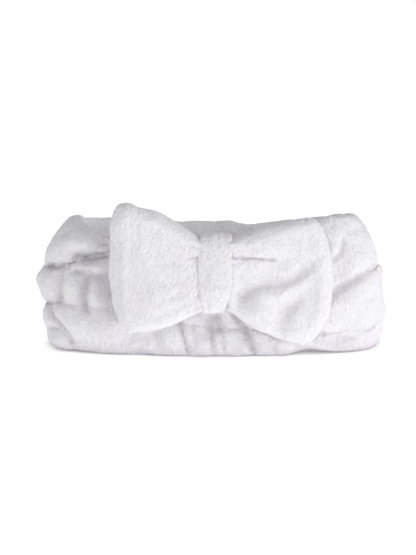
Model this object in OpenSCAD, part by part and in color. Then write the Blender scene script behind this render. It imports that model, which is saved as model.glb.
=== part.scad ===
// Spa headband: a stitched fleece tube on an elastic loop, with a two-winged bow on its front.
// The band stands on its lower edge. X runs across the forehead, -Y is the bow side, +Z is up.

/* [Ring] */
// Outside width of the relaxed ring
ring_w = 232; // [210:1:250]
// Outside depth of the relaxed ring, front to back
ring_d = 86; // [78:1:100]
// Radius of the ring's centreline where it folds round at each end
end_r = 24; // [20:1:30]
// Thickness of the puffed tube
puff_t = 20; // [16:1:22]
// Height of the band at the middle of the front
front_h = 76; // [70:1:90]
// Height of the band where it folds round at each end
end_h = 93; // [84:1:98]
// Height of the band at the middle of the back
back_h = 79; // [72:1:88]
// Thickness of the fleece with its pile
wall = 3.5; // [2.5:0.1:4]

/* [Channel] */
// Height of the lower stitch row at the middle of the front and back
channel_z = 28; // [24:1:32]
// How far the channel climbs towards each end
channel_rise = 7; // [0:1:9]
// Distance between the two stitch rows
channel_h = 23; // [20:1:26]
// Width of the elastic
elastic_w = 17; // [14:1:19]
// Thickness of the elastic
elastic_t = 1.4; // [1:0.1:2]
// Length of the elastic's lapped ends
lap_l = 22; // [16:1:30]

/* [Bow] */
// Width of the knot, across the bow
knot_w = 22; // [18:1:28]
// Height of the knot
knot_h = 50; // [44:1:56]
// Depth of the knot, front to back
knot_d = 26; // [22:1:30]
// Height of the knot's middle above the rest plane
knot_z = 60; // [56:1:66]
// How far the bow sits to the right of the ring's middle
bow_x = 2; // [-3:0.5:3]
// Length of the left wing from its fold line to its outer end
left_wing_l = 50; // [46:1:56]
// Length of the right wing from its fold line to its outer end
right_wing_l = 59; // [54:1:64]
// Height of the left wing near its outer end
left_wing_h = 85; // [78:1:90]
// Height of the right wing near its outer end
right_wing_h = 82; // [76:1:88]
// Greatest thickness of a wing
wing_t = 18; // [14:1:20]
// How far the left wing leans forward from the ring's width, in degrees
left_lean = 8; // [0:1:14]
// How far the right wing lies back from the ring's width, in degrees
right_lean = -7; // [-8:1:0]
// Height of the left wing's outer end above the knot's middle
left_rise = 4; // [0:1:10]
// Height of the right wing's outer end below the knot's middle
right_drop = 6; // [0:1:10]

/* [Thread] */
// Diameter of the sewing thread
thread_d = 0.8; // [0.6:0.1:1]

/* [Hidden] */

fleece = [0.93, 0.93, 0.95];
webbing = [0.97, 0.97, 0.96];
thread = [0.88, 0.88, 0.91];

ring_y = 13.3;          // from the row's origin back to the ring's middle
split_gap = 0.4;        // gap between the front and back halves of the tube
foot = 4;               // half width of the flattened lower edge
neck = 5.6;             // half thickness where a stitch row pulls the two layers together
puff = puff_t / 2;
channel_puff = 8.2;     // half thickness of the elastic's channel
seam_z = 12;            // height of the cover's long seam on its inner face
end_flare = 3;          // how suddenly the height grows towards each end
// How far the two ends are drawn in at each height, so that they round off above and below
end_tuck = [[0, 5], [8, 3], [20, 1], [42, 0], [65, 2], [80, 5], [93, 9]];

// The ring's centreline is a four-centred oval, drawn with two flat arcs and two end arcs.
spine_a = ring_w / 2 - puff;
spine_b = ring_d / 2 - puff;
flat_r = (pow(spine_a - end_r, 2) + pow(spine_b, 2) - pow(end_r, 2)) / (2 * (spine_b - end_r));
flat_turn = atan2(spine_a - end_r, flat_r - spine_b);
flat_steps = 6;
end_steps = 8;

// Directions that the centreline faces, from straight to the front (0) to the right end (90).
quarter = concat([for (i = [0:flat_steps]) flat_turn * i / flat_steps],
                 [for (i = [1:end_steps]) flat_turn + (90 - flat_turn) * i / end_steps]);
last = len(quarter) - 1;
half = concat([for (i = [last:-1:1]) -quarter[i]], quarter);
front_half = half;
back_half = [for (t = half) t + 180];

// Bow places
hinge_r = 6.5;          // radius of a wing's rounded root
play = 0.4;             // gap between a wing's root and the knot
knot_r = knot_d / 2;
knot_wall = 4;
core_r = knot_r - knot_wall - 1;
knot_y = ring_y - ring_d / 2 - knot_r - 0.6;
hinge_x = knot_w / 2 + play + hinge_r;
windings = [-4, 0, 4];
wing_root_h = knot_h / 2 - 3;
wing_edge = 8;          // how much of a wing's length its rounded outer edge takes
wing_corner = 8;        // size of a wing's rounded corners

function front_side(turn) = turn <= 90;
function folded(turn) = front_side(turn) ? turn : turn - 180;

// Point of the centreline that faces the direction turn
function quarter_x(t) = t <= flat_turn ? flat_r * sin(t) : spine_a - end_r + end_r * sin(t);
function quarter_y(t) = t <= flat_turn ? flat_r - spine_b - flat_r * cos(t) : -end_r * cos(t);
function spine(turn) =
    let (t = folded(turn), side = front_side(turn) ? 1 : -1)
    [side * sign(t) * quarter_x(abs(t)), ring_y + side * quarter_y(abs(t))];
function outward(turn) = [sin(turn), -cos(turn)];
function along(turn) = abs(spine(turn).x) / spine_a;

// A section's point [outwards, up] set on the centreline
function placed(turn, p) =
    let (o = spine(turn), n = outward(turn), tuck = lookup(p.y, end_tuck) * pow(along(turn), 3))
    [o.x + n.x * p.x - sign(o.x) * tuck, o.y + n.y * p.x, p.y];

// Heights round the ring
function top_z(turn) =
    let (middle = front_side(turn) ? front_h : back_h)
    middle + (end_h - middle) * pow(along(turn), end_flare);
function low_row_z(turn) = channel_z + channel_rise * pow(along(turn), 2);
function high_row_z(turn) = low_row_z(turn) + channel_h;

// A closed section from its outer half, listed from the bottom up
function mirrored(outer) =
    concat(outer, [for (i = [len(outer) - 1:-1:0]) [-outer[i].x, outer[i].y]]);

function cover_section(turn) =
    let (low = low_row_z(turn), high = high_row_z(turn), top = top_z(turn), ruff = top - high)
    mirrored([
        [foot, 0], [puff * 0.82, low * 0.12], [puff, low * 0.45], [puff * 0.78, low * 0.86],
        [neck, low],
        [channel_puff * 0.85, low + channel_h * 0.2], [channel_puff, low + channel_h * 0.5],
        [channel_puff * 0.85, low + channel_h * 0.8],
        [neck, high],
        [puff * 0.78, high + ruff * 0.15], [puff, high + ruff * 0.52], [puff * 0.8, high + ruff * 0.87],
        [puff * 0.3, top]]);

function lower_hollow(turn) =
    let (low = low_row_z(turn), w = puff - wall)
    mirrored([[w * 0.3, wall], [w * 0.9, low * 0.25], [w, low * 0.47], [w * 0.5, low * 0.8]]);

function channel_hollow(turn) =
    let (low = low_row_z(turn), w = channel_puff - wall)
    mirrored([[w * 0.4, low + 2], [w, low + channel_h * 0.3],
              [w, low + channel_h * 0.7], [w * 0.4, low + channel_h - 2]]);

function upper_hollow(turn) =
    let (high = high_row_z(turn), ruff = top_z(turn) - high, w = puff - wall)
    mirrored([[w * 0.5, high + ruff * 0.2], [w, high + ruff * 0.5],
              [w * 0.85, high + ruff * 0.76], [w * 0.2, top_z(turn) - wall]]);

// Puts a rounded point between each two of a section's points
function rounded(p) =
    let (n = len(p))
    [for (i = [0:n - 1])
        let (a = p[(i + n - 1) % n], b = p[i], c = p[(i + 1) % n], d = p[(i + 2) % n],
             sharp = norm(c - b) < 2 * foot + 1 && b.y == c.y)
        each [b, sharp ? (b + c) / 2 : (9 * (b + c) - a - d) / 16]];

function elastic_section(turn, inset) =
    let (middle = low_row_z(turn) + channel_h / 2)
    [[elastic_t / 2 + inset, middle - elastic_w / 2], [elastic_t / 2 + inset, middle + elastic_w / 2],
     [-elastic_t / 2 + inset, middle + elastic_w / 2], [-elastic_t / 2 + inset, middle - elastic_w / 2]];

function thread_section(out, z) =
    [for (i = [0:5]) [out + thread_d / 2 * cos(60 * i), z + thread_d / 2 * sin(60 * i)]];

// A closed solid over a list of rings that have the same number of points
module skin(rings) {
    n = len(rings);
    m = len(rings[0]);
    sides = [for (i = [0:n - 2], j = [0:m - 1])
        let (a = i * m + j, b = i * m + (j + 1) % m)
        each [[a, b, b + m], [a, b + m, a + m]]];
    polyhedron(
        points = [for (r = rings) each r],
        faces = concat([[for (j = [m - 1:-1:0]) j]], sides, [[for (j = [0:m - 1]) (n - 1) * m + j]]),
        convexity = 10);
}

// A section swept round part of the ring
module sweep(turns, section) {
    skin([for (t = turns) [for (p = section(t)) placed(t, p)]]);
}

// The same turns, run on a little past both cut faces
function overrun(turns) =
    let (step = (turns[1] - turns[0]) / 4)
    concat([turns[0] - step], [for (i = [1:len(turns) - 2]) turns[i]], [turns[len(turns) - 1] + step]);

// Slab that trims a half of the tube clear of the other half
module half_space(front) {
    reach = ring_w;
    y = ring_y + (front ? -split_gap / 2 - reach : split_gap / 2);
    translate([-reach, y, -reach / 2]) cube([2 * reach, reach, reach]);
}

module cover(turns, front) {
    color(fleece) intersection() {
        difference() {
            sweep(turns, function (t) rounded(cover_section(t)));
            sweep(overrun(turns), function (t) lower_hollow(folded_safe(t, front)));
            sweep(overrun(turns), function (t) channel_hollow(folded_safe(t, front)));
            sweep(overrun(turns), function (t) upper_hollow(folded_safe(t, front)));
        }
        half_space(front);
    }
}

// Keeps a turn that runs past a cut face on its own side of the ring
function folded_safe(t, front) = front ? max(-90, min(90, t)) : max(90.001, min(270, t));

module front_cover() { cover(front_half, true); }
module back_cover() { cover(back_half, false); }

module elastic(turns, front) {
    color(webbing) intersection() {
        sweep(turns, function (t) elastic_section(t, 0));
        half_space(front);
    }
}

module front_elastic() { elastic(front_half, true); }

// The back half carries the lap: a second layer on the inside of the loop's joined ends.
module back_elastic() {
    lap_turns = [for (x = [-1:0.5:1]) 180 + asin(x * lap_l / 2 / flat_r)];
    color(webbing) union() {
        elastic(back_half, false);
        sweep(lap_turns, function (t) elastic_section(t, -elastic_t));
    }
}

// A line of thread on the outer face and its partner on the inner face
module stitch_row(turns, front, row_z) {
    color(thread) intersection() {
        union() for (side = [1, -1])
            sweep(turns, function (t) thread_section(side * neck, row_z(t)));
        half_space(front);
    }
}

module front_upper_stitch_row() { stitch_row(front_half, true, function (t) high_row_z(t)); }
module front_lower_stitch_row() { stitch_row(front_half, true, function (t) low_row_z(t)); }
module back_upper_stitch_row() { stitch_row(back_half, false, function (t) high_row_z(t)); }
module back_lower_stitch_row() { stitch_row(back_half, false, function (t) low_row_z(t)); }

// The seam that makes the strip of fleece into a tube, on the face that lies on the hair
module long_seam(turns, front) {
    color(thread) intersection() {
        sweep(turns, function (t) thread_section(-puff, seam_z));
        half_space(front);
    }
}

module front_long_seam() { long_seam(front_half, true); }
module back_long_seam() { long_seam(back_half, false); }

// The seam that joins the tube's ends at the centre back, as a row of stitches on the outer face
module cover_closing_seam() {
    stitch = 4;
    pitch = 7;
    y = ring_y + ring_d / 2 - 0.4;
    rows = [for (z = [9:pitch:23]) z, for (z = [57:pitch:75]) z];
    color(thread) for (z = rows)
        translate([0, y, z - stitch / 2]) cylinder(d = thread_d, h = stitch, $fn = 24);
}

// Zigzag that holds the elastic's lapped ends
module elastic_lap_stitches() {
    middle = channel_z + channel_h / 2;
    y = ring_y + spine_b - elastic_t * 1.5;
    rows = 5;
    pitch = (elastic_w - 4) / (rows - 1);
    color(thread) for (side = [-1, 1], i = [0:rows - 1])
        translate([side * lap_l / 4 - 2, y, middle + (i - (rows - 1) / 2) * pitch])
            rotate([0, 90, 0]) cylinder(d = thread_d, h = 4, $fn = 24);
}

// A flat shape with round ends, standing on end
module stadium(r, h) {
    union() {
        for (side = [-1, 1]) translate([side * (h / 2 - r), 0]) circle(r, $fn = 64);
        square([h - 2 * r, 2 * r], center = true);
    }
}

// Runs a flat shape along X, with the shape's X standing up
module across(w) {
    translate([bow_x - w / 2, knot_y, knot_z]) rotate([0, 90, 0]) linear_extrude(w) children();
}

// The strip that wraps the bow's middle
module knot_wrap() {
    color(fleece) across(knot_w) difference() {
        stadium(knot_r, knot_h);
        stadium(knot_r - knot_wall, knot_h - 2 * knot_wall);
    }
}

// The bow's own cloth, pinched inside the knot
module bow_centre() {
    inset = knot_wall + 1;
    color(fleece) across(knot_w - 1) stadium(core_r, knot_h - 2 * inset);
}

module gathering_thread() {
    inset = knot_wall + 1;
    h = knot_h - 2 * inset;
    color(thread) for (x = windings)
        translate([x, 0, 0]) across(thread_d) difference() {
            stadium(core_r + thread_d, h + 2 * thread_d);
            stadium(core_r, h);
        }
}

// Stitches that close the wrap where its ends meet, on the wall that faces the band
module knot_closing_seam() {
    stitch = 3;
    y = knot_y + knot_r - knot_wall + 0.3;
    color(thread) for (z = [-8:4:8])
        translate([bow_x - stitch / 2, y, knot_z + z]) rotate([0, 90, 0]) cylinder(d = thread_d, h = stitch, $fn = 24);
}

// Stitches through the back of the knot into the outer layer of the band
module bow_tack_stitches() {
    reach = 4.5;
    color(thread) for (x = [-6, 6], z = [-2, 6])
        translate([bow_x + x, knot_y + knot_r - 1.2, knot_z + z])
            rotate([-90, 0, 0]) cylinder(d = 1.1 * thread_d, h = reach, $fn = 24);
}

// Half thickness of a wing of length l at a distance u from its fold line
function wing_half_t(u, l) =
    u < 0 ? sqrt(max(0, pow(hinge_r, 2) - u * u)) :
    let (edge = l - wing_edge, body = hinge_r + (wing_t / 2 - hinge_r) * sin(180 * pow(u / l, 0.8)))
    u < edge ? body : body * sqrt(max(0, 1 - pow((u - edge) / wing_edge, 2)));

// Half height of a wing of length l and outer height h at u
function wing_half_h(u, l, h) =
    let (s = min(1, max(0, u) / (l - wing_corner)), over = max(0, u - l + wing_corner) / wing_corner)
    wing_root_h + (h / 2 - wing_root_h) * pow(s, 0.75)
    - wing_corner * (1 - sqrt(max(0, 1 - over * over))) * 0.8
    - (u < 0 ? 3 * pow(u / hinge_r, 2) : 0);

// A squarish ring of points at u, in the wing's own frame: along, forward, up
function wing_ring(u, l, h, rise) =
    let (t = max(0.15, wing_half_t(u, l)), tall = wing_half_h(u, l, h), z = rise * max(0, u) / l)
    [for (i = [0:23]) let (a = 15 * i, c = cos(a), s = sin(a))
        [u, -t * sign(c) * pow(abs(c), 0.7), z + tall * sign(s) * pow(abs(s), 0.62)]];

function wing_stations(l) = concat(
    [-hinge_r + 0.02, -5.6, -3.4, 0, 6], [for (i = [1:6]) 6 + (l - wing_edge - 6) * i / 6],
    [for (k = [0.3, 0.55, 0.75, 0.9, 0.985]) l - wing_edge * (1 - k)]);

// Puts a wing's frame on its fold line. side is -1 for the left wing, and lean turns it forward.
module on_fold(side, lean) {
    translate([bow_x + side * hinge_x, knot_y, knot_z])
        mirror([side < 0 ? 1 : 0, 0, 0]) rotate([0, 0, -lean]) children();
}

module wing(side, l, h, lean, rise) {
    color(fleece) on_fold(side, lean) skin([for (u = wing_stations(l)) wing_ring(u, l, h, rise)]);
}

// The seam that makes the bow's strip into a tube, along the middle of a wing's back
module wing_seam(side, l, lean, rise) {
    path = [for (i = [0:6]) let (u = 2 + (l - 9) * i / 6) [u, wing_half_t(u, l) - 0.1, rise * u / l]];
    color(thread) on_fold(side, lean)
        skin([for (p = path) [for (i = [0:5]) p + thread_d / 2 * [0, cos(60 * i), sin(60 * i)]]]);
}

module left_wing() { wing(-1, left_wing_l, left_wing_h, left_lean, left_rise); }
module right_wing() { wing(1, right_wing_l, right_wing_h, right_lean, -right_drop); }
module left_wing_seam() { wing_seam(-1, left_wing_l, left_lean, left_rise); }
module right_wing_seam() { wing_seam(1, right_wing_l, right_lean, -right_drop); }

front_cover();
front_elastic();
front_upper_stitch_row();
front_lower_stitch_row();
front_long_seam();
back_cover();
back_elastic();
back_upper_stitch_row();
back_lower_stitch_row();
back_long_seam();
cover_closing_seam();
elastic_lap_stitches();
knot_wrap();
knot_closing_seam();
bow_centre();
gathering_thread();
bow_tack_stitches();
left_wing();
left_wing_seam();
right_wing();
right_wing_seam();
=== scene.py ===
"""Looks of the spa headband.

Lengths are in millimetres in the row frame until a mesh is made, and in metres from there on.
"""

import math

import bmesh
import bpy
import numpy as np
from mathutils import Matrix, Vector, noise
from mathutils.bvhtree import BVHTree


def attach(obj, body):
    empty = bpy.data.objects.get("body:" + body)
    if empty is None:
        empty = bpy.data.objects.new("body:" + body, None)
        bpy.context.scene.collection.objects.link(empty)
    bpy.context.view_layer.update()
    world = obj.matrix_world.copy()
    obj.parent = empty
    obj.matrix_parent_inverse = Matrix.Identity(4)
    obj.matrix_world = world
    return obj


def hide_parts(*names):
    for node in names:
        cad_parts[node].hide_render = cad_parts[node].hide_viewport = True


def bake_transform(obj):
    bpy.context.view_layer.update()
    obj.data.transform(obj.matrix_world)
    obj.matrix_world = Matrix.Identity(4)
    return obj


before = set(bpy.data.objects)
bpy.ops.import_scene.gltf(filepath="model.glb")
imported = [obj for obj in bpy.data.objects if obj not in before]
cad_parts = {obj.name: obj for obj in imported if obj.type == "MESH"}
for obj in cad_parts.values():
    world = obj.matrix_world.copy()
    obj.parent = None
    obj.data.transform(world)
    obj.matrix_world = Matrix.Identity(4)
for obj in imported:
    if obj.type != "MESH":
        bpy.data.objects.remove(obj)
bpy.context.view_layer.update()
scene = bpy.context.scene
MM = 0.001

# ---------------------------------------------------------------- the ring
# The band's centreline is an oval of two flat arcs and two end arcs. s is the way along it from the middle
# of the front towards +X. The two stitch rows part the tube into three lobes, one above the other.
RING_Y = 13.3
HALF_W, HALF_D, END_R = 106.0, 33.0, 24.0
FLAT_R = ((HALF_W - END_R) ** 2 + HALF_D**2 - END_R**2) / (2 * (HALF_D - END_R))
FLAT_TURN = math.atan2(HALF_W - END_R, FLAT_R - HALF_D)
FLAT = FLAT_R * FLAT_TURN
END = END_R * (math.pi - 2 * FLAT_TURN)
LENGTH = 4 * FLAT + 2 * END
# From the ring's middle to the middles of its arcs
FAR, IN_X = FLAT_R - HALF_D, HALF_W - END_R

KNOT = np.array([2.0, -43.3, 60.0])
HINGE = 17.9
LONG_SEAM_Z = 12.0


def ring(s):
    """Centreline x, y and outward direction at s."""
    s = np.mod(s, LENGTH)
    ends = [FLAT, FLAT + END, 3 * FLAT + END, 3 * FLAT + 2 * END]
    half, full = math.pi, 2 * math.pi
    turns = [0, FLAT_TURN, half - FLAT_TURN, half + FLAT_TURN, full - FLAT_TURN, full]
    turn = np.interp(s, [0, *ends, LENGTH], turns)
    arc = np.searchsorted(ends, s, side="right")
    cx = np.array([0, IN_X, 0, -IN_X, 0])[arc]
    cy = np.array([FAR, 0, -FAR, 0, FAR])[arc] + RING_Y
    r = np.array([FLAT_R, END_R, FLAT_R, END_R, FLAT_R])[arc]
    nx, ny = np.sin(turn), -np.cos(turn)
    return cx + r * nx, cy + r * ny, nx, ny


def on_ring(x, y):
    """The reverse of ring: the way along the centreline of points, and how far outside it they are."""
    v = y - RING_Y
    side = np.where(v <= 0, 1, -1)
    flat = np.mod(np.arctan2(x, side * (FAR + np.abs(v))), 2 * math.pi)
    end = np.mod(np.arctan2(x - np.sign(x) * IN_X, -v), 2 * math.pi)
    on_flat = np.arctan2(np.abs(x), FAR + np.abs(v)) <= FLAT_TURN
    s_front = np.where(x < 0, LENGTH + (flat - 2 * math.pi) * FLAT_R, flat * FLAT_R)
    s_flat = np.where(side < 0, FLAT + END + (flat - math.pi + FLAT_TURN) * FLAT_R, s_front)
    s_right = FLAT + (end - FLAT_TURN) * END_R
    s_left = 3 * FLAT + END + (end - math.pi - FLAT_TURN) * END_R
    s_end = np.where(x > 0, s_right, s_left)
    off_flat = np.hypot(x, FAR + np.abs(v)) - FLAT_R
    off_end = np.hypot(np.abs(x) - IN_X, v) - END_R
    return np.where(on_flat, s_flat, s_end), np.where(on_flat, off_flat, off_end)


def around(s, table):
    """Value at s of a table of (s, value) that goes round the ring, with its corners eased."""
    table = sorted((a % LENGTH, b) for a, b in table)
    xs, ys = zip(*table)
    nearby = [np.interp(np.mod(s + step, LENGTH), xs, ys, period=LENGTH) for step in (-8, -4, 0, 4, 8)]
    return np.mean(nearby, axis=0)


def apart(s, at):
    """Signed way along the ring from at to s, the short way round."""
    return np.mod(s - at + LENGTH / 2, LENGTH) - LENGTH / 2


# Heights of the stitch rows and the top edge, and half thicknesses at the rows: (s, value)
LOW_ROW = [
    (-118, 27.5), (-108, 30.5), (-96, 33), (-84, 32.5), (-72, 33), (-50, 26), (0, 19.5), (35, 17.5),
    (75, 14), (100, 14), (122, 24), (170, 27), (240, 28), (-170, 28), (-130, 28),
]
HIGH_ROW = [
    (-118, 54), (-104, 57.5), (-95, 57.5), (-87, 65), (-80, 64.5), (-64, 67), (-45, 60), (0, 50), (50, 50),
    (80, 52), (100, 54), (122, 54), (170, 51), (240, 51), (-170, 51), (-130, 54),
]
TOP_EDGE = [
    (-118, 89), (-105, 88.4), (-97, 88.2), (-88, 85.5), (-75, 80.5), (-50, 76.5), (-20, 72.5), (0, 72.5),
    (25, 74), (45, 82), (70, 90), (82, 92), (95, 92.5), (112, 91), (125, 89.5), (150, 86), (175, 82),
    (218, 79.8), (232, 80.8), (-230, 81.2), (-190, 81), (-165, 83), (-140, 84.5), (-128, 87),
]
LOW_NECK = [
    (-118, 6.2), (-106, 5.8), (-98, 7.4), (-90, 8.6), (-74, 8.6), (-50, 8.2), (0, 8.6), (30, 8.8), (60, 9.2),
    (100, 9.2), (118, 9.0), (135, 8.6), (160, 6.4), (240, 5.6), (-170, 5.6), (-135, 6.2),
]
HIGH_NECK = [
    (-118, 6.4), (-100, 6.0), (-92, 6.8), (-80, 5.8), (-60, 5.8), (0, 7.4), (50, 8.6), (75, 9.4), (104, 9.2),
    (118, 7.6), (132, 6.0), (170, 5.6), (240, 5.6), (-170, 5.6), (-135, 6.2),
]
INNER_LOW_NECK, INNER_HIGH_NECK = 5.2, 5.4
# Half thickness of each lobe from the bottom up, and the mean height of the bottom edge, pressed flat at 0
LOBE_HALF = [9.8, 8.8, 9.6]
BOTTOM_EDGE = -1.4
# How far each end is drawn in at each height
TUCK_Z = [0, 8, 20, 30, 42, 50, 60, 70, 77, 85, 93]
LEFT_TUCK = [3, 4.5, 0.5, -0.5, -0.3, 0.3, 2.5, 5, 10, 14.5, 18]
RIGHT_TUCK = [-0.5, -0.8, -1.2, -1.6, -2.2, -1.2, 2, 5.5, 8, 12, 15]

# Creases of the outer face that the front view shows: line of (s, z), depth, width
CREASES = [
    ([(-97.6, 62), (-97.4, 49), (-97.8, 40), (-99.5, 31)], 6.4, 2.8),
    ([(-78.2, 58), (-82.0, 48), (-83.4, 40), (-82.0, 31), (-78.0, 27)], 5.6, 2.4),
    ([(-116, 54), (-110.6, 55.8), (-104.2, 57.5), (-97.8, 55.5), (-94.6, 57), (-89.7, 62.3)], 3.6, 2.0),
    ([(-91, 60), (-89.7, 62.3), (-88.1, 66), (-85.3, 65.9), (-82.1, 63.8), (-78.9, 64.3), (-72.1, 65.9),
      (-60, 67.5)],
     6.0, 2.4),
    ([(-92, 56.5), (-87, 55.5), (-80, 54.5), (-74, 53), (-66, 53)], 3.6, 1.9),
    ([(-122, 27), (-107.4, 30.6), (-99, 31.8)], 2.0, 2.2),
    ([(-101, 31.4), (-96.2, 33.3), (-90.5, 33.4), (-82, 31.9), (-70, 32)], 1.6, 2.6),
    ([(-109.0, 32.6), (-100.6, 22.8), (-95.4, 16.9), (-90.3, 4)], 5.4, 1.9),
    ([(-113, 13), (-103, 15.5), (-95, 16)], 3.0, 1.7),
    ([(-82, 91), (-89.5, 87.5), (-93.4, 84.5), (-98, 81), (-104, 79.5), (-120, 79)], 4.6, 2.1),
    ([(-99, 62), (-97, 70), (-100, 76)], 1.2, 2.4),
    ([(86.3, 79.5), (85.7, 72.3), (83.5, 67.3), (74, 60)], 3.4, 1.5),
    ([(84.0, 79), (89.7, 81.8), (95.4, 82.3), (106, 82.5)], 0.7, 1.9),
    ([(70, 30.5), (79.3, 39.3), (82.5, 43.3), (87.3, 45.4), (90.9, 47.4), (93.8, 49.4), (99, 53.2)],
     5.2, 2.0),
    ([(95, 50.4), (100.6, 54.4), (107.8, 55.5)], 2.2, 2.2),
    ([(105, 55.3), (114, 54.5), (124, 57)], 1.6, 2.4),
    ([(105, 38), (99.5, 31.5)], 1.6, 1.7),
    ([(96, 30), (92.5, 21)], 1.4, 1.6),
    ([(62, 15.5), (73.7, 13.5), (80.1, 11.5), (86.1, 11.6), (94, 9.5)], 1.5, 1.2),
    ([(-37, 22), (-35, 3)], 2.6, 3.4),
    ([(-22.5, 28), (-18, 14), (-14.5, 1)], 4.2, 2.2),
    ([(-12, 24), (-11.5, 3)], 2.6, 2.0),
    ([(-0.5, 22), (1, 2)], 4.2, 2.2),
    ([(5, 24), (8.5, 3)], 3.4, 2.0),
    ([(14, 32), (19, 24), (24, 15), (28, 1)], 5.4, 2.2),
    ([(40, 18), (40.5, 2)], 2.2, 2.2),
    ([(54, 17), (54.5, 3)], 1.4, 1.5),
]
# Its puffs and hollows: (s, z), radii, height
MOUNDS = [
    ((-109, 44), (7, 9), 2.2),
    ((-90.2, 45), (5.5, 10), 2.6),
    ((-75.5, 42.5), (4.6, 8), 3.0),
    ((-84.5, 60.0), (4, 3.5), 2.6),
    ((-74, 59.5), (9, 3.6), 2.8),
    ((-104, 23), (4.5, 5), 1.4),
    ((-100, 7), (7, 6), 3.5),
    ((-89, 21), (8, 9), 2.0),
    ((-87, 76), (8, 8), 2.8),
    ((-120, 84), (13, 7), 2.2),
    ((-63, 45), (6.5, 12), -10.0),
    ((-71, 74.5), (5.2, 4.6), -6.4),
    ((-63.5, 73), (6.0, 5.5), -5.4),
    ((78.2, 71), (5.0, 6), 2.8),
    ((86, 36), (9, 6), 1.6),
    ((90, 60), (9, 6), 1.0),
    ((2.5, 25.5), (5.0, 6.0), -8.5),
]
# Short gathers along the lower stitch row at the right: s, z, depth
NICKS = [(68.5, 12.5, 1.0), (73.5, 12, 0.7), (83.0, 10, 1.0), (88.0, 10.5, 1.1), (91.5, 9.5, 0.9)]
# Gathers where the photograph doesn't show the cloth: first random seed, gap between them, share of depth
OUTER_GATHERS = (11, 12, 1.0)
INNER_GATHERS = (31, 15, 0.6)
PLEAT_SPREAD = 34


# ---------------------------------------------------------------- relief
def to_line(u, z, line, offset=np.subtract):
    """Distance from each (u, z) to a line, and the way along it to there from its nearer end.

    offset(a, b) is a - b in u.
    """
    best, at, done = np.full(u.shape, 1e9), np.zeros(u.shape), 0.0
    for (u0, z0), (u1, z1) in zip(line, line[1:]):
        du, dz = offset(u1, u0), z1 - z0
        pu, pz = offset(u, u0), z - z0
        reach = math.hypot(du, dz)
        t = np.clip((pu * du + pz * dz) / reach**2, 0, 1)
        far = np.hypot(pu - t * du, pz - t * dz)
        at = np.where(far < best, done + t * reach, at)
        best = np.minimum(best, far)
        done += reach
    return best, np.minimum(at, done - at)


def creased(u, z, lines, offset=np.subtract, soft=1.0, cusp=0.55):
    """How far creases push each (u, z) out, which is less than nothing.

    cusp is the share of a crease that is sharp at its line; the rest is round. Each fades over its ends.
    """
    deep = np.zeros(u.shape)
    for line, depth, width in lines:
        far, along = to_line(u, z, line, offset)
        fade = np.clip(0.25 + along / (2.5 * width), 0, 1)
        sharp = np.exp(-far / (soft * 1.9 * width))
        rounded = np.exp(-((far / width) ** 2))
        deep = np.maximum(deep, depth * fade * (cusp * sharp + (1 - cusp) * rounded))
    return -deep


def mound(du, dz, radii, height):
    """A round puff, or a hollow, at (du, dz) from its middle."""
    return height * np.exp(-((du / radii[0]) ** 2) - (dz / radii[1]) ** 2)


def gather(s, z, row, at, depth, slant, reach, width, side):
    """A pleat that starts at a stitch row and opens out above (side 1) or below (-1) it.

    It is a fold with a low rise on both sides.
    """
    h = z - row
    off = np.abs(apart(s, at + slant * h))
    w = width + 0.17 * np.abs(h)
    fade = np.exp(-((h / reach) ** 2)) * np.clip(0.5 + side * h / 3, 0, 1)
    fold = -np.exp(-((off / w) ** 2))
    rise = 0.42 * np.exp(-(((off - 2.3 * w) / (1.2 * w)) ** 2))
    return depth * fade * (fold + rise)


def pleats(seed, gap):
    """Places round the ring for pleats, with their depth, slant, reach and width."""
    rng = np.random.default_rng(seed)
    found, at = [], -LENGTH / 2
    while at < LENGTH / 2 - gap * 0.6:
        depth, slant = rng.uniform(1.8, 4.4), rng.uniform(-0.4, 0.4)
        reach, width = rng.uniform(9, 26), rng.uniform(1.7, 2.8)
        found.append((at, depth, slant, reach, width))
        at += gap * rng.uniform(0.65, 1.45)
    return found


def gathered(s, z, gathers):
    """How far the pleats above and below both stitch rows push each point out."""
    first_seed, gap, share = gathers
    low, high = around(s, LOW_ROW), around(s, HIGH_ROW)
    d = np.zeros(s.shape)
    for n, (row, side) in enumerate([(low, -1), (low, 1), (high, -1), (high, 1)]):
        for at, depth, slant, reach, width in pleats(first_seed + n, gap):
            near = np.abs(apart(s, at)) < PLEAT_SPREAD
            d[near] += gather(s[near], z[near], row[near], at, share * depth, slant, reach, width, side)
    return d


def band_relief(s, off, z):
    """How far out the cloth stands from the plain surface, from its creases, puffs and gathers."""
    out, inside = np.clip((off - 0.5) / 3, 0, 1), np.clip((-off - 0.5) / 3, 0, 1)
    # the front view shows the outer face to about 116 mm either way
    from_front = np.abs(apart(s, 0))
    seen = out * np.clip((120 - from_front) / 4, 0, 1)
    hidden = out * np.clip((from_front - 112) / 8, 0, 1)
    d = out * creased(s, z, CREASES, apart)
    for (at, height), radii, rise in MOUNDS:
        d += out * mound(apart(s, at), z - height, radii, rise)
    for at, height, depth in NICKS:
        d += seen * mound(apart(s, at), z - height, (0.9, 3.2), -depth)
    under_knot = seen * np.clip((30 - np.abs(apart(s, KNOT[0]))) / 8, 0, 1)
    d -= under_knot * 0.25 * np.exp(-(((z - around(s, LOW_ROW)) / 1.0) ** 2))
    d += hidden * gathered(s, z, OUTER_GATHERS) + inside * gathered(s, z, INNER_GATHERS)
    long_seam = np.exp(-(((z - LONG_SEAM_Z) / 1.1) ** 2))
    closing_seam = np.clip((74 - z) / 5, 0, 1) * np.exp(-((apart(s, LENGTH / 2) / 1.2) ** 2))
    return d - 1.2 * inside * long_seam - 1.4 * out * closing_seam


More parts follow.
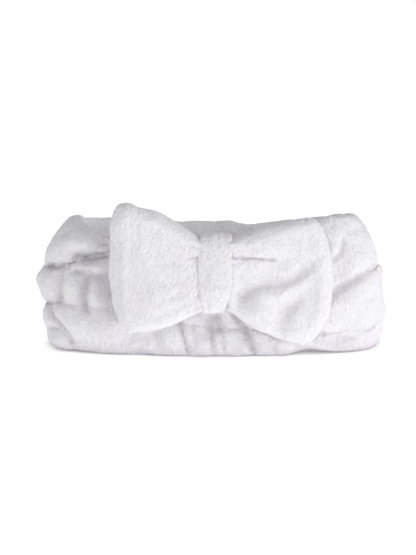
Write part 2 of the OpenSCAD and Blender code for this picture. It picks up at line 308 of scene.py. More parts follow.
# ---------------------------------------------------------------- the band's plain surface
def band_shape(s, face, lobe, phi):
    """Points of the plain surface.

    face is 1 outside and -1 inside, lobe is 0 to 2 from the bottom, and phi is -90 to 90 up a lobe.
    """

    def wave(times, size, shift):
        return size * np.sin(2 * math.pi * times * s / LENGTH + shift)

    low, high = around(s, LOW_ROW), around(s, HIGH_ROW)
    top = around(s, TOP_EDGE) + wave(11, 0.4, 0.4) + wave(23, 0.35, 2.1)
    bottom = BOTTOM_EDGE + wave(9, 0.45, 1.2) + wave(17, 0.35, 0.2)
    start = np.choose(lobe, [bottom, low, high])
    stop = np.choose(lobe, [low, high, top])
    z = start + (stop - start) * (0.5 + 0.5 * np.sin(np.radians(phi)))
    at_high = (lobe == 2) | ((lobe == 1) & (phi > 0))
    outer_neck = np.where(at_high, around(s, HIGH_NECK), around(s, LOW_NECK))
    neck = np.where(face > 0, outer_neck, np.where(at_high, INNER_HIGH_NECK, INNER_LOW_NECK))
    fold = ((lobe == 0) & (phi < 0)) | ((lobe == 2) & (phi > 0))
    full = np.choose(lobe, LOBE_HALF)
    swell = np.cos(np.radians(phi))
    half = np.where(fold, full * swell ** np.where(lobe == 0, 0.6, 0.72), neck + (full - neck) * swell**0.85)
    x, y, nx, ny = ring(s)
    tuck = np.where(x > 0, np.interp(z, TUCK_Z, RIGHT_TUCK), np.interp(z, TUCK_Z, LEFT_TUCK))
    px = x + face * nx * half - np.sign(x) * tuck * (np.abs(x) / HALF_W) ** 3
    return np.stack([px, y + face * ny * half, np.maximum(z, 0)], -1)


def band_grid(count):
    """The plain surface as a grid of count steps round the ring, and the (face, lobe, phi) of its rows."""
    lobe_steps = [11, 8, 12]
    rows = [(1, lobe, -90 + 180 * k / steps) for lobe, steps in enumerate(lobe_steps) for k in range(steps)]
    rows.append((1, 2, 90.0))
    rows += [(-1, lobe, phi) for _, lobe, phi in reversed(rows[1:-1])]
    s = (np.arange(count) * LENGTH / count)[:, None]
    s, face, lobe, phi = np.broadcast_arrays(s, *(np.array(v)[None] for v in zip(*rows)))
    return band_shape(s, face, lobe, phi), rows


# ---------------------------------------------------------------- meshes
def mesh(name, points, faces):
    """A smooth object from points in millimetres."""
    data = bpy.data.meshes.new(name)
    data.from_pydata((np.asarray(points).reshape(-1, 3) * MM).tolist(), [], faces)
    data.validate()
    obj = bpy.data.objects.new(name, data)
    scene.collection.objects.link(obj)
    bm = bmesh.new()
    bm.from_mesh(data)
    bmesh.ops.recalc_face_normals(bm, faces=bm.faces)
    bm.to_mesh(data)
    bm.free()
    data.shade_smooth()
    return obj


def tube_faces(count, around_it, first=0):
    """Faces of a closed tube of count rings of points, with both ends capped."""
    faces = grid_faces(count, around_it, first, wrap_n=False)
    last = first + (count - 1) * around_it
    faces.append(tuple(first + j for j in range(around_it)))
    faces.append(tuple(last + j for j in reversed(range(around_it))))
    return faces


def grid_faces(n, m, first=0, wrap_n=True):
    """Faces of n rows of m points. Each row closes on itself, and with wrap_n so do the rows."""
    faces = []
    for i in range(n if wrap_n else n - 1):
        for j in range(m):
            i1, j1 = (i + 1) % n, (j + 1) % m
            faces.append(tuple(first + k for k in (i * m + j, i1 * m + j, i1 * m + j1, i * m + j1)))
    return faces


def coords(obj):
    """The mesh's points, in metres."""
    co = np.empty(len(obj.data.vertices) * 3)
    obj.data.vertices.foreach_get("co", co)
    return co.reshape(-1, 3)


def set_coords(obj, co):
    obj.data.vertices.foreach_set("co", np.ascontiguousarray(co, dtype=np.float32).ravel())
    obj.data.update()


def subdivide(obj, levels):
    """Adds subdivision and applies it to the mesh."""
    mod = obj.modifiers.new("finer", "SUBSURF")
    mod.levels = mod.render_levels = levels
    bpy.context.view_layer.update()
    deps = bpy.context.evaluated_depsgraph_get()
    finer = obj.evaluated_get(deps)
    data = bpy.data.meshes.new_from_object(finer, preserve_all_data_layers=True, depsgraph=deps)
    obj.modifiers.clear()
    obj.data = data
    data.shade_smooth()


def push_out(obj, far, sideways=None):
    """Moves each point far millimetres along its normal, leaned towards sideways where that is given."""
    co = coords(obj)
    way = np.empty(len(co) * 3)
    obj.data.vertices.foreach_get("normal", way)
    way = way.reshape(-1, 3)
    if sideways is not None:
        way = 0.4 * way + sideways
        way /= np.linalg.norm(way, axis=1, keepdims=True)
    set_coords(obj, co + way * far[:, None] * MM)


def nap(obj, sizes):
    """Pushes the surface in and out by noise of a few sizes: (cell, depth, vertical stretch)."""
    co = coords(obj)
    push = np.zeros(len(co))
    for k, (cell, depth, stretch) in enumerate(sizes):
        scaled = co / (cell * MM) * np.array([1, 1, 1 / stretch]) + 17.3 * (k + 1)
        push += depth * np.array([noise.noise(Vector(p)) for p in scaled])
    push_out(obj, push)


def surface_of(obj):
    return BVHTree.FromObject(obj, bpy.context.evaluated_depsgraph_get())


# ---------------------------------------------------------------- materials
def feed(tree, node, values):
    """Fills a node's inputs by name: an output is linked, and anything else is set on the input itself."""
    for name, value in values.items():
        if isinstance(value, bpy.types.NodeSocket):
            tree.links.new(value, node.inputs[name])
        else:
            node.inputs[name].default_value = value
    return node


def added(tree, kind, values):
    return feed(tree, tree.nodes.new(kind), values)


def mixed(tree, a, b, factor, blend="MIX"):
    """Two colours mixed."""
    node = tree.nodes.new("ShaderNodeMix")
    node.data_type = "RGBA"
    node.blend_type = blend
    return feed(tree, node, {"A": a, "B": b, "Factor": factor}).outputs["Result"]


def ramp(tree, value, stops):
    """A colour ramp of (position, colour) stops."""
    node = added(tree, "ShaderNodeValToRGB", {"Fac": value})
    elements = node.color_ramp.elements
    first, *between, last = stops
    for element, (position, colour) in ((elements[0], first), (elements[1], last)):
        element.position = position
        element.color = colour
    for position, colour in between:
        elements.new(position).color = colour
    return node.outputs["Color"]


def weighed(tree, a, factor, b):
    """a times factor, plus b."""
    node = tree.nodes.new("ShaderNodeMath")
    node.operation = "MULTIPLY_ADD"
    tree.links.new(a, node.inputs[0])
    node.inputs[1].default_value = factor
    tree.links.new(b, node.inputs[2])
    return node.outputs[0]


def new_material(name):
    """A material with its node tree and its shader."""
    mat = bpy.data.materials.new(name)
    mat.use_nodes = True
    return mat, mat.node_tree, mat.node_tree.nodes["Principled BSDF"]


def grey(level):
    return (level, level, level, 1)


def fleece(name, colour):
    """White pile: tufts that bump the surface, with painted shade between the tufts and in the folds."""
    mat, tree, shader = new_material(name)
    place = tree.nodes.new("ShaderNodeTexCoord").outputs["Object"]
    combed = added(tree, "ShaderNodeMapping", {"Vector": place, "Scale": (1, 1, 0.7)}).outputs["Vector"]
    tufts = {"Vector": combed, "Detail": 2, "Roughness": 0.6}
    fine = added(tree, "ShaderNodeTexNoise", {**tufts, "Scale": 1300}).outputs["Fac"]
    coarse = added(tree, "ShaderNodeTexNoise", {**tufts, "Scale": 330}).outputs["Fac"]
    clump = added(tree, "ShaderNodeTexVoronoi", {"Vector": combed, "Scale": 620}).outputs["Distance"]
    blotch = added(tree, "ShaderNodeTexNoise", {"Vector": place, "Scale": 45}).outputs["Fac"]
    height = weighed(tree, clump, -0.8, weighed(tree, coarse, 0.7, fine))
    bump = added(tree, "ShaderNodeBump", {"Strength": 0.8, "Distance": 0.0009, "Height": height})

    spread = added(tree, "ShaderNodeMapRange", {"Value": coarse, "From Min": 0.3, "From Max": 0.7})
    dark, pale = ((*(c * share for c in colour), 1) for share in (0.97, 1.02))
    tone = mixed(tree, dark, pale, spread.outputs["Result"])
    cast = ramp(tree, blotch, [(0.35, (0.97, 0.95, 1, 1)), (0.65, grey(1))])
    tone = mixed(tree, tone, cast, 0.5, "MULTIPLY")
    # painted shade and light of the pile: the colour darkens in the lows of the tuft bump, where the tufts
    # meet, and lightens a little on their tops
    depth = {"Value": height, "From Min": -0.1, "From Max": 0.9, "To Min": 0.93, "To Max": 1.05}
    painted_pile_shade = added(tree, "ShaderNodeMapRange", depth)
    painted_pile_shade.clamp = False
    tone = mixed(tree, tone, painted_pile_shade.outputs["Result"], 1.0, "MULTIPLY")
    # painted shade: ambient occlusion darkens the base colour and tints it faintly purple where the cloth
    # closes up on itself, in creases, recesses and under the bow
    cover = added(tree, "ShaderNodeAmbientOcclusion", {"Distance": 0.0095})
    cover.samples = 8
    fold = mixed(tree, (0.75, 0.705, 0.73, 1), grey(1), cover.outputs["AO"])
    feed(tree, shader, {
        "Base Color": mixed(tree, tone, fold, 1.0, "MULTIPLY"),
        "Normal": bump.outputs["Normal"],
        "Roughness": 1.0,
        "Specular IOR Level": 0.1,
        "Sheen Weight": 0.35,
        "Sheen Roughness": 0.6,
        "Subsurface Weight": 0.06,
        "Subsurface Scale": 0.003,
        "Subsurface Radius": (1.0, 0.9, 0.95),
    })
    return mat


def ribbed(name, colour, scale, depth):
    """Thread or webbing: a fine twisted or ribbed surface."""
    mat, tree, shader = new_material(name)
    place = tree.nodes.new("ShaderNodeTexCoord").outputs["Object"]
    wave = added(tree, "ShaderNodeTexWave", {"Vector": place, "Scale": scale, "Distortion": 1.5})
    wave.bands_direction = "DIAGONAL"
    ribs = wave.outputs["Fac"]
    bump = added(tree, "ShaderNodeBump", {"Distance": depth, "Height": ribs})
    # painted shade: the colour is darker where the ribs are low, in the grooves of the bump
    feed(tree, shader, {
        "Base Color": mixed(tree, (*(c * 0.82 for c in colour), 1), (*colour, 1), ribs),
        "Normal": bump.outputs["Normal"],
        "Roughness": 0.8,
        "Sheen Weight": 0.2,
    })
    return mat


FLEECE = fleece("fleece", (0.885, 0.88, 0.9))
THREAD = ribbed("sewing_thread", (0.84, 0.835, 0.86), 420, 0.0002)
WEBBING = ribbed("woven_elastic", (0.8, 0.8, 0.79), 260, 0.0003)


# ---------------------------------------------------------------- cloth
def relax(obj, hold, pressure, grow, cap):
    """Lets the mesh settle as cloth under inside pressure.

    hold is each point's pin weight, grow how much larger the cloth is cut than the mesh, and cap about the
    furthest, in millimetres, that a point may move.
    """
    before = coords(obj)
    group = obj.vertex_groups.new(name="hold")
    for level in np.unique(np.round(hold, 2)):
        if level > 0:
            group.add(np.flatnonzero(np.abs(hold - level) < 0.006).tolist(), float(level), "REPLACE")
    frames, stiffness = 14, 12.0
    cloth = obj.modifiers.new("cloth", "CLOTH")
    st = cloth.settings
    st.quality = 6
    st.mass = 0.25
    st.air_damping = 2
    st.tension_stiffness = st.compression_stiffness = stiffness
    st.shear_stiffness = stiffness / 2
    st.bending_stiffness = 2.0
    st.use_pressure = True
    st.uniform_pressure_force = pressure
    st.shrink_min = -grow
    st.vertex_group_mass = group.name
    st.effector_weights.gravity = 0
    cloth.collision_settings.use_collision = False
    cloth.point_cache.frame_start, cloth.point_cache.frame_end = 1, frames
    for frame_number in range(1, frames + 1):
        scene.frame_set(frame_number)
    settled = obj.evaluated_get(bpy.context.evaluated_depsgraph_get()).to_mesh()
    after = np.empty(before.size)
    settled.vertices.foreach_get("co", after)
    obj.modifiers.clear()
    obj.vertex_groups.clear()
    scene.frame_set(1)
    step = after.reshape(-1, 3) - before
    far = np.linalg.norm(step, axis=1, keepdims=True)
    limit = cap * MM
    set_coords(obj, before + step * (np.tanh(far / limit) * limit / np.maximum(far, 1e-9)))


# ---------------------------------------------------------------- the band
BAND_STEPS = 100
PINNED, LOOSE = 0.9, 0.06
# The lower row is slack in two places, where the puffs run over it: middle s, half length
SLACK = ((-84, 16), (119, 18))


def band_cover():
    """The fleece tube, settled between its stitch rows and then creased and gathered."""
    points, rows = band_grid(BAND_STEPS)
    band = mesh("band_cover", points, grid_faces(len(points), len(rows)))
    at_row = [PINNED if phi == -90 and lobe > 0 else LOOSE for _, lobe, phi in rows]
    hold = np.tile(at_row, (BAND_STEPS, 1))
    for at, half in SLACK:
        beyond = np.abs(apart(np.arange(BAND_STEPS) * LENGTH / BAND_STEPS, at)) - half
        hold[:, rows.index((1, 1, -90.0))] *= 0.07 + 0.93 * np.clip(beyond / 8, 0, 1)
    relax(band, hold.ravel(), 1.1, grow=0.045, cap=2.6)
    subdivide(band, 2)
    co = coords(band) / MM
    s, off = on_ring(co[:, 0], co[:, 1])
    relief = band_relief(s, off, co[:, 2])
    # a crease stops short of the ring's centreline, so that the two faces never meet
    relief = np.where(np.abs(off) > 3, np.maximum(relief, 1.6 - np.abs(off)), relief)
    _, _, nx, ny = ring(s)
    push_out(band, relief, 0.8 * np.sign(off)[:, None] * np.stack([nx, ny, 0 * nx], -1))
    nap(band, [(21, 1.2, 1.0), (8, 0.6, 1.2), (2.8, 0.3, 1.4)])
    co = coords(band)
    co[:, 2] = np.maximum(co[:, 2], 0.0002)
    set_coords(band, co)
    band.data.materials.append(FLEECE)
    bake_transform(band)
    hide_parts("front_cover", "back_cover")
    return band


# ---------------------------------------------------------------- sewing
STITCH, STITCH_PITCH, THREAD_R, THREAD_SIDES = 2.5, 3.5, 0.36, 6
# A stitch's shape: share of its length, and height of its middle line above the cloth
STITCH_AT = np.array([0, 0.2, 0.5, 0.8, 1.0])
STITCH_LIFT = np.array([-0.7, -0.18, -0.05, -0.18, -0.7])
# A stitch that would drop or climb further than this is left out
STEEPEST = 2.2


def drape(surface, starts, ways):
    """One stitch laid on a surface, as its points and the way back out: rays go from starts along ways.

    None where a ray misses or the stitch would be too steep.
    """
    starts = np.asarray(starts, float)
    ways = np.broadcast_to(np.asarray(ways, float), starts.shape)
    hits = [surface.ray_cast(Vector(a * MM), Vector(w))[0] for a, w in zip(starts, ways)]
    if any(h is None for h in hits):
        return None
    hits = np.array(hits) / MM
    if np.ptp(np.einsum("ij,ij->i", hits, ways)) > STEEPEST:
        return None
    return hits - ways * STITCH_LIFT[:, None], -ways


def stitches(name, runs):
    """Short threads, each with its ends sunk in the cloth."""
    points, faces = [], []
    turn = np.arange(THREAD_SIDES) * 2 * math.pi / THREAD_SIDES
    for path, out in (run for run in runs if run is not None):
        along = np.gradient(path, axis=0)
        along /= np.linalg.norm(along, axis=1, keepdims=True)
        across = np.cross(along, out)
        across /= np.linalg.norm(across, axis=1, keepdims=True)
        up = np.cross(across, along)
        faces += tube_faces(len(path), THREAD_SIDES, len(points) * THREAD_SIDES)
        for p, a, b in zip(path, across, up):
            points.append(p + THREAD_R * (np.cos(turn)[:, None] * a + np.sin(turn)[:, None] * b))
    obj = mesh(name, np.concatenate(points), faces)
    obj.data.materials.append(THREAD)
    return obj


def row_runs(surface, height, face):
    """Stitches round the ring on one face of the cover.

    face is 1 outside and -1 inside, and height gives z at s.
    """
    runs = []
    # the rays start well outside the cover, or in the head opening
    far = 30 if face > 0 else -12.5
    for at in np.arange(0, LENGTH - STITCH, STITCH_PITCH):
        s = at + STITCH_AT * STITCH
        x, y, nx, ny = ring(s)
        out = np.stack([nx, ny, 0 * nx], 1)
        starts = np.stack([x, y, height(s)], 1) + out * far
        runs.append(drape(surface, starts, -out * np.sign(far)))
    return runs


def band_sewing(surface):
    """The two stitch rows on both faces, and the long seam on the inner one."""
    for name, nodes, height, faces in (
        ("upper_stitches", ("front_upper_stitch_row", "back_upper_stitch_row"),
         lambda s: around(s, HIGH_ROW), (1, -1)),
        ("lower_stitches", ("front_lower_stitch_row", "back_lower_stitch_row"),
         lambda s: around(s, LOW_ROW), (1, -1)),
        ("long_seam_stitches", ("front_long_seam", "back_long_seam"),
         lambda s: LONG_SEAM_Z + 0 * s, (-1,)),
    ):
        row = stitches(name, [run for face in faces for run in row_runs(surface, height, face)])
        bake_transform(row)
        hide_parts(*nodes)


def closing_seam(surface):
    """The seam at the centre back, below and above the channel."""
    runs = []
    for z in [*np.arange(7, 24, STITCH_PITCH), *np.arange(55, 75, STITCH_PITCH)]:
        heights = z + STITCH_AT * STITCH
        behind = np.stack([0 * heights, 0 * heights + 80, heights], 1)
        runs.append(drape(surface, behind, (0, -1, 0)))
    closing = stitches("closing_stitches", runs)
    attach(closing, "back")
    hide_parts("cover_closing_seam")


# ---------------------------------------------------------------- elastic
def elastic_loop():
    """The webbing in the channel, once round from the middle of the back.

    Its last end laps inside its first.
    """
    thick, wide, lap = 1.4, 17.0, 22.0
    count, high = 260, 10
    step_in = 6
    s = np.linspace(LENGTH / 2 - lap / 2, LENGTH * 1.5 + lap / 2, count)
    x, y, nx, ny = ring(s)
    inset = -thick * np.clip((s - (LENGTH * 1.5 - lap / 2 - step_in)) / step_in, 0, 1) - 0.05
    channel_floor, half_channel = 28 + 7 * (x / HALF_W) ** 2, 11.5
    up = np.linspace(-wide / 2, wide / 2, high)
    rib = 0.08 * np.where(np.arange(high) % 2, 1, -1)
    out = np.concatenate([thick / 2 + rib, -thick / 2 - rib[::-1]]) + inset[:, None]
    z = (channel_floor + half_channel)[:, None] + np.concatenate([up, up[::-1]])
    points = np.stack([x[:, None] + nx[:, None] * out, y[:, None] + ny[:, None] * out, z], -1)
    elastic = mesh("elastic_loop", points, tube_faces(count, 2 * high))
    elastic.data.materials.append(WEBBING)
    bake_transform(elastic)
    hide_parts("front_elastic", "back_elastic")


# ---------------------------------------------------------------- the bow's wings
# A wing is laid out as (u, z), with u the way out from its fold line. Its root is gathered inside the knot.
OUT_STEPS, UP_STEPS = 34, 46
ROOT_U = -9


def on_line(line, at):
    """Points at shares of the way along a line."""
    line = np.array(line, float)
    steps = np.linalg.norm(np.diff(line, axis=0), axis=1)
    way = np.concatenate([[0], np.cumsum(steps)])
    fine = np.linspace(0, way[-1], 200)
    even = [np.interp(fine, way, line[:, k]) for k in (0, 1)]
    place = np.asarray(at).ravel() * 199
    return np.stack([np.interp(place, np.arange(200), values) for values in even], 1)


def wing_sheet(root, top, bottom, edge):
    """Points (u, z) of a wing's flat outline, filled in evenly between its four sides."""
    f = np.sin(np.linspace(0, 1, OUT_STEPS) * math.pi / 2)[:, None, None] ** 1.15
    even = np.linspace(0, 1, UP_STEPS)
    e = (0.75 * (0.5 - 0.5 * np.cos(even * math.pi)) + 0.25 * even)[None, :, None]
    top, bottom = on_line(top, f)[:, None], on_line(bottom, f)[:, None]
    root, edge = on_line(root, e)[None], on_line(edge, e)[None]
    sheet = (1 - e) * bottom + e * top + (1 - f) * root + f * edge
    at_root = (1 - e) * root[:, :1] + e * root[:, -1:]
    at_edge = (1 - e) * edge[:, :1] + e * edge[:, -1:]
    return sheet - (1 - f) * at_root - f * at_edge


def pillow(name, place, half):
    """A closed mesh of two faces that share their border. place(1) and place(-1) give the points of each."""
    n, m = half.shape
    border = np.zeros((n, m), bool)
    border[0] = border[-1] = border[:, 0] = border[:, -1] = True
    ids_front = np.arange(n * m).reshape(n, m)
    ids_back = ids_front.copy()
    ids_back[~border] = n * m + np.arange((~border).sum())
    faces = []
    for i in range(n - 1):
        for j in range(m - 1):
            for ids in (ids_front, ids_back):
                corners = ((i, j), (i + 1, j), (i + 1, j + 1), (i, j + 1))
                faces.append(tuple(ids[corner] for corner in corners))
    points = np.concatenate([place(half).reshape(-1, 3), place(-half)[~border]])
    return mesh(name, points, faces), border


def root_gathers(u, off, z, side):
    """How far the gathers of a wing's root push its two faces out: shallow in front and deep behind."""
    rng = np.random.default_rng(70 + side)
    d = np.zeros(u.shape)
    from_root = u - ROOT_U
    for face, least, most in ((1, 0.1, 0.6), (-1, 1.0, 2.2)):
        for k in range(6):
            at = 40 + 7.0 * k + rng.uniform(-2, 2)
            reach, depth = rng.uniform(6, 12), rng.uniform(least, most)
            away = z - at - (at - KNOT[2]) * 0.022 * from_root
            fade = np.clip(face * off / 2, 0, 1) * np.exp(-((np.maximum(from_root, 0) / reach) ** 2))
            d -= fade * depth * np.exp(-((away / 1.4) ** 2))
    return d


def wing(name, side, lean, top, bottom, edge, half_at, rim, creases, valleys, mounds):
    """A wing of the bow, on the left (side -1) or right (side 1), leaned lean degrees towards the viewer.

    half_at is its half thickness as (u, value), and rim how far it takes to reach that from the long sides
    and from the outer edge. creases are sharp and valleys round: line, depth, width. mounds are like the
    band's MOUNDS.
    """
    sheet = wing_sheet([bottom[0], top[0]], top, bottom, edge)
    u, z = sheet[..., 0], sheet[..., 1]
    side_rim, edge_rim = rim
    inset = np.minimum(to_line(u, z, bottom)[0], to_line(u, z, top)[0]) / side_rim
    inset = np.minimum(np.minimum(inset, to_line(u, z, edge)[0] / edge_rim), 1)
    inset = np.minimum(inset * np.interp(u, [ROOT_U, 2], [2.6, 1]), 1)
    half = np.interp(u, *zip(*half_at)) * np.sqrt(1 - (1 - inset) ** 2)
    half[0] = 0
    c, sn = math.cos(math.radians(lean)), math.sin(math.radians(lean))
    hinge_x, hinge_y = KNOT[0] + side * HINGE, KNOT[1]

    def place(off):
        """Points off in front of the sheet."""
        return np.stack([hinge_x + side * (u * c - sn * off), hinge_y - u * sn - c * off, z], -1)

    obj, border = pillow(name, place, half)
    way_out = np.concatenate([u.ravel(), u[~border]])
    hold = np.interp(way_out, [-10, -6, 2, 10], [1, 0.9, 0.3, 0.08])
    relax(obj, hold, 1.5, grow=0.03, cap=3)
    subdivide(obj, 2)

    co = coords(obj) / MM
    dx, dy, z = side * (co[:, 0] - hinge_x), co[:, 1] - hinge_y, co[:, 2]
    u, off = c * dx - sn * dy, -sn * dx - c * dy
    d = creased(u, z, creases, soft=0.6) + creased(u, z, valleys, cusp=0.0)
    for (at, height), radii, rise in mounds:
        d += mound(u - at, z - height, radii, rise)
    push_out(obj, d * np.clip(off / 3, 0, 1) + root_gathers(u, off, z, side))
    nap(obj, [(18, 1.0, 1.0), (7, 0.4, 1.2), (2.6, 0.15, 1.4), (1.4, 0.12, 1.2)])
    obj.data.materials.append(FLEECE)
    return obj


def left_wing():
    return wing(
        "bow_left_wing", -1, 8,
        top=[(-12, 80.5), (-8, 82.5), (-3, 86.5), (3.4, 91), (10, 95), (16.3, 98.2), (23.3, 100.2),
             (29.7, 102.2), (34, 104.6), (38, 105.4), (42, 104.6), (44.6, 102.6)],
        bottom=[(-12, 36), (-8, 34.5), (0.4, 30.6), (6.3, 28.6), (12.8, 26), (19.4, 23.8), (26.5, 22.6),
                (33, 21.6), (37.6, 21.2), (41, 23)],
        edge=[(41, 23), (44, 28.7), (47.3, 42), (49.0, 55.5), (48.8, 65), (48.4, 80), (47.9, 92),
              (46.8, 98.5), (44.6, 102.6)],
        half_at=[(-12, 6.5), (-10, 9.6), (-8, 11.2), (-3, 11.0), (8, 11.0), (20, 10.8), (34, 9.4),
                 (50, 7.8)],
        rim=(7.5, 9.5),
        creases=[([(-14, 71), (0.8, 71.3)], 1.3, 1.3), ([(-14, 47), (-4, 46)], 1.0, 1.6)],
        valleys=[([(45, 88), (46, 60), (45, 34)], 1.2, 3.0)],
        mounds=[
            ((16, 42), (20, 20), 1.6),
            ((-6, 77), (5, 5), 0.8),
            ((-7, 61), (4, 4), 0.8),
            ((-5, 54), (4, 3), 0.5),
        ],
    )


def right_wing():
    return wing(
        "bow_right_wing", 1, -7,
        top=[(-13, 81.5), (-7, 82.5), (1.9, 85.3), (9, 87.9), (16.1, 90), (25.9, 92), (32.4, 93.2),
             (40.9, 94.4), (46.5, 92.5)],
        bottom=[(-13, 36), (-8, 34.6), (-2.4, 30.2), (2.8, 26.4), (9.4, 22), (20, 17.5), (32, 13),
                (40, 12.2), (45, 14.5)],
        edge=[(45, 14.5), (49.5, 20), (55.5, 32.1), (58, 42.1), (58.6, 56), (57.4, 68.6), (54, 80),
              (51, 87.5), (46.5, 92.5)],
        half_at=[(-13, 8.0), (-10, 9.6), (-7, 10.2), (0, 9.4), (12, 9.0), (30, 9), (60, 8.6)],
        rim=(7, 9.5),
        creases=[([(-14, 71.6), (6.3, 70.3), (20.5, 68.8)], 2.2, 0.9)],
        valleys=[
            ([(-6, 40), (1.6, 46), (8.4, 52.4), (16.1, 54.2), (24, 54), (32, 56.4), (38.2, 61.8), (45, 68)],
             3.4, 4.0),
            ([(45, 50), (35, 44), (28, 36), (24, 27), (22.5, 17)], 3.8, 5.8),
        ],
        mounds=[
            ((0, 46), (6.5, 11), -3.8),
            ((22, 45), (15, 4.5), 2.2),
            ((9, 35), (9, 7), 1.8),
            ((50, 42), (7, 24), 2.2),
            ((12, 80), (12, 6), 0.8),
        ],
    )


def bend_wing(obj):
    """Bakes a piece of a wing's placement into its mesh."""
    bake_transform(obj)


def finish_wing(obj, side, node, reach, rise):
    """Bakes a wing in place, hides its CAD parts, and sews the seam on its back, which runs reach far out
    and climbs by rise.
    """
    behind = surface_of(obj)
    runs = []
    for u in np.arange(4, reach, STITCH_PITCH):
        way = u + STITCH_AT * STITCH
        middle = np.stack([KNOT[0] + side * (HINGE + way), 0 * way, KNOT[2] + rise * way], 1)
        runs.append(drape(behind, middle, (0, -1, 0)))
    bend_wing(obj)
    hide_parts(node)
    seam = stitches(node + "_stitches", runs)
    bend_wing(seam)
    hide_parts(node + "_seam")


# ---------------------------------------------------------------- the bow's middle
def bow_core():
    """The bow's cloth where the thread gathers it, inside the knot: a flattened bundle of pleats along X."""
    long_steps, round_steps = 43, 132
    radius, half_h, half_w = 8.0, 20.0, 10.5
    x = np.linspace(-half_w, half_w, long_steps)
    a = np.arange(round_steps) * 2 * math.pi / round_steps
    y0 = radius * np.cos(a)
    z0 = radius * np.sin(a) + (half_h - radius) * np.clip(np.sin(a) * 2.2, -1, 1)
    # the thread's three turns pinch it, and its ends open out to fill the strap
    pinch = sum(np.exp(-(((x - at) / 1.1) ** 2)) for at in (-4, 0, 4))
    pleat = 0.5 + 0.5 * np.cos(22 * a + 0.8 * np.sin(3 * a))
    depth = (0.25 + 0.75 * pleat)[None] * (0.7 - 0.5 * pinch)[:, None] + 0.15
    depth = depth + 0.1 * np.abs(x / half_w)[:, None] ** 8
    end = np.sqrt(np.clip(1 - (np.abs(x) / half_w) ** 12, 0, 1))[:, None]
    flare = 1.25 * np.clip((np.abs(x) - 5.2) / 4, 0, 1)[:, None]
    scale = np.maximum(end, 0.55) * (1 + (flare - depth) / radius)
    px = np.broadcast_to(x[:, None], scale.shape)
    points = KNOT + np.stack([px, y0 * scale, z0 * scale - 0.08 * flare], -1)
    core = mesh("bow_core", points, tube_faces(long_steps, round_steps))
    core.data.materials.append(FLEECE)
    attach(core, "front")
    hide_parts("bow_centre")


def power(values, exponent):
    """values to a power, keeping their signs: it squares off a circle's sine and cosine."""
    return np.sign(values) * np.abs(values) ** exponent


def bow_knot():
    """The strap that wraps the bow's middle: round the knot in n steps, round its own section in m."""
    n, m = 80, 30
    half_h, half_d, mid_z = 24.0, 10.6, 59.2
    # a = 0 is the front, and a grows towards the top
    a = np.arange(n) * 2 * math.pi / n
    loop_y, loop_z = -half_d * power(np.cos(a), 0.6), half_h * power(np.sin(a), 0.7)
    tangent = np.stack([np.roll(v, -1) - np.roll(v, 1) for v in (loop_y, loop_z)], 1)
    tangent /= np.linalg.norm(tangent, axis=1, keepdims=True)
    out_y, out_z = -tangent[:, 1], tangent[:, 0]
    flip = np.sign(out_y * loop_y + out_z * loop_z)
    out_y, out_z = out_y * flip, out_z * flip
    # its sides are drawn in towards the bottom of the front, and it is plain behind
    front_left = np.interp(loop_z + mid_z, [35.5, 38, 45, 60, 78, 83], [-5.2, -6.6, -8.6, -9.4, -8.4, -7.6])
    front_right = np.interp(loop_z + mid_z, [35.5, 38, 45, 55, 78, 83], [8.2, 9.6, 11.8, 13.4, 14.0, 13.6])
    behind = np.clip(-np.cos(a), 0, 1)
    left_x = front_left * (1 - behind) - 7.5 * behind
    right_x = front_right * (1 - behind) + 11.5 * behind
    # its section is wide, thin and crowned outside, with three folds along it
    b = np.arange(m) * 2 * math.pi / m
    wide, deep = power(np.cos(b), 0.72)[None], power(np.sin(b), 0.8)[None]
    long_way = 0.25 + 0.75 * np.abs(np.sin(a))[:, None] ** 2
    crown = 0.5 * (1 - wide**2)
    for at, depth, width in ((-0.45, 0.9, 0.16), (0.12, 0.7, 0.13), (0.55, 0.9, 0.14)):
        crown = crown - depth * np.exp(-(((wide - at) / width) ** 2)) * long_way
    lift = deep * 2.0 + np.where(deep > 0, crown, 0) + 0.3
    x = (left_x + right_x)[:, None] / 2 + (right_x - left_x)[:, None] / 2 * wide
    y = loop_y[:, None] + out_y[:, None] * lift + KNOT[1]
    z = loop_z[:, None] + out_z[:, None] * lift + mid_z
    knot = mesh("bow_knot", np.stack([x, y, z], -1), grid_faces(n, m))
    subdivide(knot, 2)
    nap(knot, [(14, 0.8, 1.4), (6, 0.4, 1.2), (2.4, 0.22, 1.4), (1.2, 0.14, 1.2)])
    knot.data.materials.append(FLEECE)
    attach(knot, "front")
    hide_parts("knot_wrap")


# ---------------------------------------------------------------- stage
def floor():
    """A pale floor that glows, with a painted contact shadow: its glow greys by ambient occlusion where the
    band is close.
    """
    reach = 4e4
    corners = [(-reach, -reach, 0), (reach, -reach, 0), (reach, reach, 0), (-reach, reach, 0)]
    ground = mesh("floor", corners, [(0, 1, 2, 3)])
    paper, tree, shader = new_material("pale_floor")
    # painted contact shadow: ambient occlusion turns the floor's glow grey close to the band
    painted_contact_shadow = added(tree, "ShaderNodeAmbientOcclusion", {"Distance": 0.007})
    feed(tree, shader, {
        "Base Color": grey(0.8),
        "Roughness": 1.0,
        "Specular IOR Level": 0.0,
        "Emission Color": mixed(tree, (0.2, 0.2, 0.21, 1), grey(1), painted_contact_shadow.outputs["AO"]),
        "Emission Strength": 0.64,
    })
    ground.data.materials.append(paper)


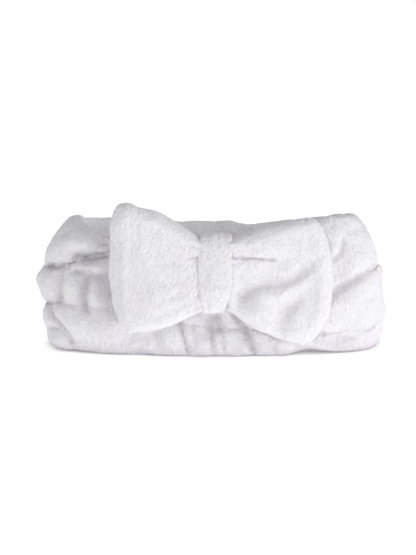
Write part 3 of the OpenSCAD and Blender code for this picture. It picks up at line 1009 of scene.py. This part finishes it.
def studio():
    """Soft light from all round: brightest near the horizon, and dimmer on the left."""
    world = bpy.data.worlds.new("studio")
    scene.world = world
    world.use_nodes = True
    tree = world.node_tree
    way = tree.nodes.new("ShaderNodeTexCoord").outputs["Generated"]
    split = added(tree, "ShaderNodeSeparateXYZ", {"Vector": way})
    stops = [(0.05, grey(1.1)), (0.35, (0.51, 0.51, 0.52, 1)), (1.0, grey(0.6))]
    sky = ramp(tree, split.outputs["Z"], stops)
    to_left = {"Value": split.outputs["X"], "From Min": -1.0, "From Max": -0.2, "To Min": 0.7, "To Max": 1.0}
    strength = added(tree, "ShaderNodeMapRange", to_left).outputs["Result"]
    feed(tree, tree.nodes["Background"], {"Color": sky, "Strength": strength})


def key_lamp():
    """A low soft lamp from the right, which picks out the creases."""
    light = bpy.data.lights.new("key", "AREA")
    light.shape = "DISK"
    light.size = 0.45
    light.energy = 5
    lamp = bpy.data.objects.new("key", light)
    lamp.location = (1.25, -0.75, 0.3)
    lamp.rotation_euler = (Vector((0, 0, 0.05)) - lamp.location).to_track_quat("-Z", "Y").to_euler()
    scene.collection.objects.link(lamp)


def front_camera():
    elevation, distance = math.radians(11), 1.0
    aim = Vector((-0.002, 0.0, 0.048))
    lens = bpy.data.cameras.new("camera")
    lens.sensor_width = 36
    lens.lens = 36 * 1480 / 555
    camera = bpy.data.objects.new("camera", lens)
    camera.location = aim + Vector((0, -math.cos(elevation), math.sin(elevation))) * distance
    camera.rotation_euler = (aim - camera.location).to_track_quat("-Z", "Y").to_euler()
    scene.collection.objects.link(camera)
    scene.camera = camera


# ---------------------------------------------------------------- all together
cover = surface_of(band_cover())
band_sewing(cover)
closing_seam(cover)
elastic_loop()
left, right = left_wing(), right_wing()
finish_wing(left, -1, "left_wing", reach=44, rise=4 / 50)
finish_wing(right, 1, "right_wing", reach=50, rise=-6 / 59)
bow_core()
bow_knot()
for name in ("knot_closing_seam", "gathering_thread", "bow_tack_stitches", "elastic_lap_stitches"):
    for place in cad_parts[name].material_slots:
        place.material = THREAD
floor()
studio()
key_lamp()
front_camera()
scene.view_settings.view_transform = "Standard"
